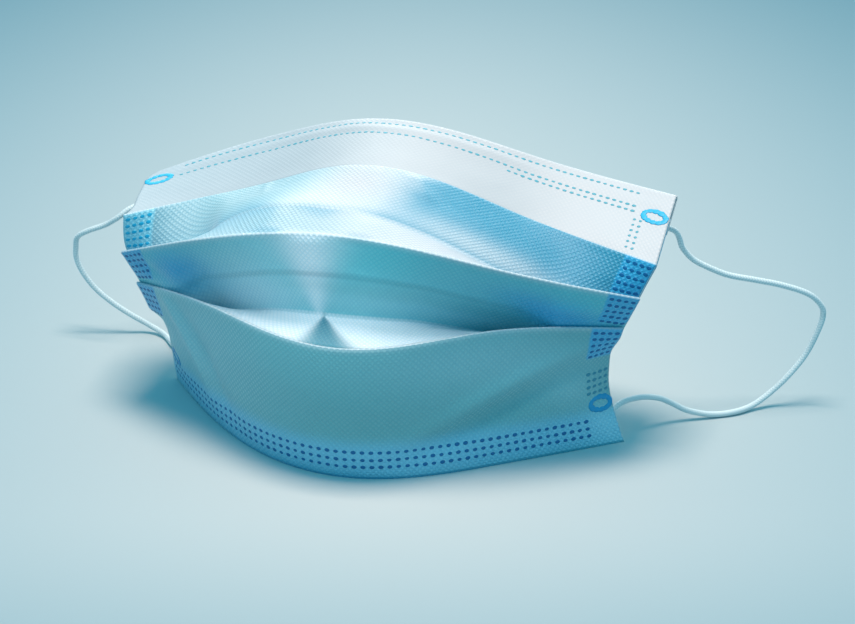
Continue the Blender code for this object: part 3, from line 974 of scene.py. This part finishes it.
# rows: metres down from a panel's head, or up from its foot where negative; columns: metres in from its side
hemWelds = {"rows": (-0.0041, -0.0065, -0.0090), "spacing": 0.0026, "start": -0.97, "end": 0.88,
            "dot": dotSizes(0.00150, 0.00120, 0.00005, 0.10, 3)}
bandWelds = {"rows": (0.0026, 0.0079), "spacing": 0.0022, "start": -0.86, "end": 0.86,
             "shortRow": 0.0100, "shortStart": 0.40, "columns": (0.0088, 0.0108), "columnRun": (0.013, 0.025),
             "dot": dotSizes(0.00140, 0.00092, 0.00004, 0.12, 5),
             "columnDot": dotSizes(0.0010, 0.00092, 0.00004, 0.12, 5)}
sideWelds = {"columns": (0.0015, 0.0038, 0.0061, 0.0084), "rows": 5, "spacing": 0.0022, "margin": 0.0014,
             "faintRows": (0.0165, 0.0187, 0.0209, 0.0231),
             "dot": dotSizes(0.00165, 0.00115, 0.00005, 0.10, 7),
             "faintDot": dotSizes(0.00165, 0.00115, 0.00003, 0.10, 7)}
ringWelds = {"marks": 12, "long": 0.0037, "wide": 0.0021,
             "upper": (("bandFace", 0.945, 0.0100), ("bandFace", -0.945, 0.0075)),
             "lower": (("lower", 0.950, -0.0140), ("lower", -0.925, -0.0125)),
             "dot": dotSizes(0.00285, 0.00185, 0.00012, 0.10, 9)}

hemPlaces = []
for down in hemWelds["rows"]:
    hemPlaces += rowOfDots("lower", down, hemWelds["start"], hemWelds)
dotPiece("hem_welds", hemPlaces, hemWelds["dot"], weldBlue)

bandPlaces = []
for down in bandWelds["rows"]:
    bandPlaces += rowOfDots("bandFace", down, bandWelds["start"], bandWelds)
bandPlaces += rowOfDots("bandFace", bandWelds["shortRow"], bandWelds["shortStart"], bandWelds)
dotPiece("nose_band_welds", bandPlaces, bandWelds["dot"], weldPale)

columnPlaces = [onCloth("bandFace", fromSide(1.0, column), down) for column in bandWelds["columns"]
                for down in np.arange(*bandWelds["columnRun"], bandWelds["spacing"])]
dotPiece("nose_band_end_welds", columnPlaces, bandWelds["columnDot"], weldPale)


def sidePlaces(side, panels):
    rows = [sideWelds["margin"] + i * sideWelds["spacing"] for i in range(sideWelds["rows"])]
    return [onCloth(panel, fromSide(side, column), down)
            for panel in panels for column in sideWelds["columns"] for down in rows]


leftDark = sidePlaces(-1.0, ("second", "lower"))
rightDark = sidePlaces(1.0, ("first", "second", "lower"))
dotPiece("side_seam_welds", leftDark + rightDark, sideWelds["dot"], weldBlue)
faint = [onCloth("lower", fromSide(1.0, column), down)
         for column in sideWelds["columns"] for down in sideWelds["faintRows"]]
dotPiece("notch_welds", faint, sideWelds["faintDot"], weldFaint)
# the left top block's dots take the lighter cyan, a lit copy of the weld blue painted where that block meets
# the light
dotPiece("left_top_welds", sidePlaces(-1.0, ("first",)), sideWelds["dot"], weldCyan)


def ringPlaces(panel, across, down):
    # marks end to end round an oval
    places = []
    for i in range(ringWelds["marks"]):
        angle = 2.0 * math.pi * i / ringWelds["marks"]
        du, dv = ringWelds["long"] * math.cos(angle), ringWelds["wide"] * math.sin(angle)
        place, out, along = onCloth(panel, across + du / halfWidth, down - dv)
        upward = np.cross(out, along)
        tangent = unit(-ringWelds["long"] * math.sin(angle) * along
                       + ringWelds["wide"] * math.cos(angle) * upward)
        places.append((place, out, tangent))
    return places


for name, places, finish, slot in (("upper_ring_welds", ringWelds["upper"], weldCyan, "white_cloth"),
                                   ("lower_ring_welds", ringWelds["lower"], weldMid, "blue_cloth")):
    rings = [mark for panel, across, down in places for mark in ringPlaces(panel, across, down)]
    dotPiece(name, rings, ringWelds["dot"], finish)

# the floor and the light

# the floor fades from its pale colour to a darker one away from a painted pool of light
studio = {"floorSize": 6.0, "floor": (0.74, 0.78, 0.77), "floorUnlit": (0.20, 0.42, 0.50),
          "lightPool": {"across": (0.967, 0.256, 0.0), "onward": (-0.256, 0.967, 0.0),
                   "side": 0.0020, "sideReach": 0.26, "front": -0.0506, "frontReach": 0.12,
                   "back": 0.15, "backReach": 0.7, "from": -0.4, "to": 1.6},
          "worldColour": (0.16, 0.74, 1.0), "world": 0.56,
          "lamps": (
              {"name": "overhead", "place": (0.0, 0.07, 0.90), "aim": (0.0, -0.03, 0.0),
               "shape": (0.32, 0.26), "watts": 7.3, "colour": (1.0, 0.77, 0.66), "objectOnly": False},
              {"name": "front", "place": (0.0, -0.26, 0.85), "aim": (0.0, -0.03, 0.04), "shape": (0.30, 0.20),
               "watts": 3.0, "colour": (1.0, 0.86, 0.78), "objectOnly": True},
              {"name": "centre", "place": (-0.08, -0.60, 0.34), "aim": (-0.012, -0.030, 0.060),
               "spot": 3.8, "softness": 0.03, "watts": 16.0, "colour": (1.0, 0.97, 0.94), "objectOnly": True},
              {"name": "behind", "place": (0.0, 1.0, 0.52), "aim": (0.0, 0.0, 0.04), "shape": (1.3, 0.5),
               "watts": 10.0, "colour": (1.0, 0.94, 0.88), "objectOnly": True},
          )}


def floorMaterial():
    # a pale floor with a painted pool of light: darker in tone to the sides, the front and far behind
    material, maker, shader = newMaterial("floorLightPool", {"Specular IOR Level": 0.1})
    lightPool = studio["lightPool"]
    place = maker.out("ShaderNodeTexCoord", None, None, 3)
    side, front = (maker.out("ShaderNodeVectorMath", {"operation": "DOT_PRODUCT"},
                             {0: place, 1: lightPool[way]}, 1) for way in ("across", "onward"))
    offset = maker.out("ShaderNodeCombineXYZ", None, {
        0: (side - lightPool["side"]) * (1.0 / lightPool["sideReach"]),
        1: (front - lightPool["front"]).atMost(0.0) * (1.0 / lightPool["frontReach"]),
        2: (lightPool["back"] - front).atMost(0.0) * (1.0 / lightPool["backReach"])})
    reach = maker.out("ShaderNodeVectorMath", {"operation": "LENGTH"}, {0: offset}, 1)
    grain = maker.cloud(place, 700.0, 2.0)
    tone = maker.smooth(reach, lightPool["from"], lightPool["to"])
    feed(maker, shader, {
        "Base Color": maker.mixColour(tone, (*studio["floor"], 1.0), (*studio["floorUnlit"], 1.0)),
        "Roughness": 0.8 + grain * 0.1,
        "Normal": maker.relief(0.1, 0.00002, grain),
    })
    return material


def makeStudio():
    size = 0.5 * studio["floorSize"]
    mesh = bpy.data.meshes.new("floor")
    mesh.from_pydata([(-size, -size, 0.0), (size, -size, 0.0), (size, size, 0.0), (-size, size, 0.0)],
                     [], [(0, 1, 2, 3)])
    addObject("floor", mesh, [floorMaterial()])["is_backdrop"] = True
    world = bpy.data.worlds.new("studio")
    world.use_nodes = True
    background = world.node_tree.nodes["Background"]
    background.inputs["Color"].default_value = (*studio["worldColour"], 1.0)
    background.inputs["Strength"].default_value = studio["world"]
    bpy.context.scene.world = world
    lit = bpy.data.collections.new("object alone")
    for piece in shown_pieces():
        lit.objects.link(piece)
    for lamp in studio["lamps"]:
        if "spot" in lamp:
            light = bpy.data.lights.new(lamp["name"], "SPOT")
            light.spot_size = math.radians(lamp["spot"])
            light.spot_blend = 1.0
            light.shadow_soft_size = lamp["softness"]
        else:
            light = bpy.data.lights.new(lamp["name"], "AREA")
            light.shape = "RECTANGLE"
            light.size, light.size_y = lamp["shape"]
        light.energy = lamp["watts"]
        light.color = lamp["colour"]
        made = bpy.data.objects.new(lamp["name"], light)
        made.location = lamp["place"]
        aim = Vector(lamp["aim"]) - made.location
        made.rotation_euler = aim.to_track_quat("-Z", "Y").to_euler()
        if lamp["objectOnly"]:
            made.light_linking.receiver_collection = lit
        bpy.context.scene.collection.objects.link(made)


makeStudio()
print("studio lit")
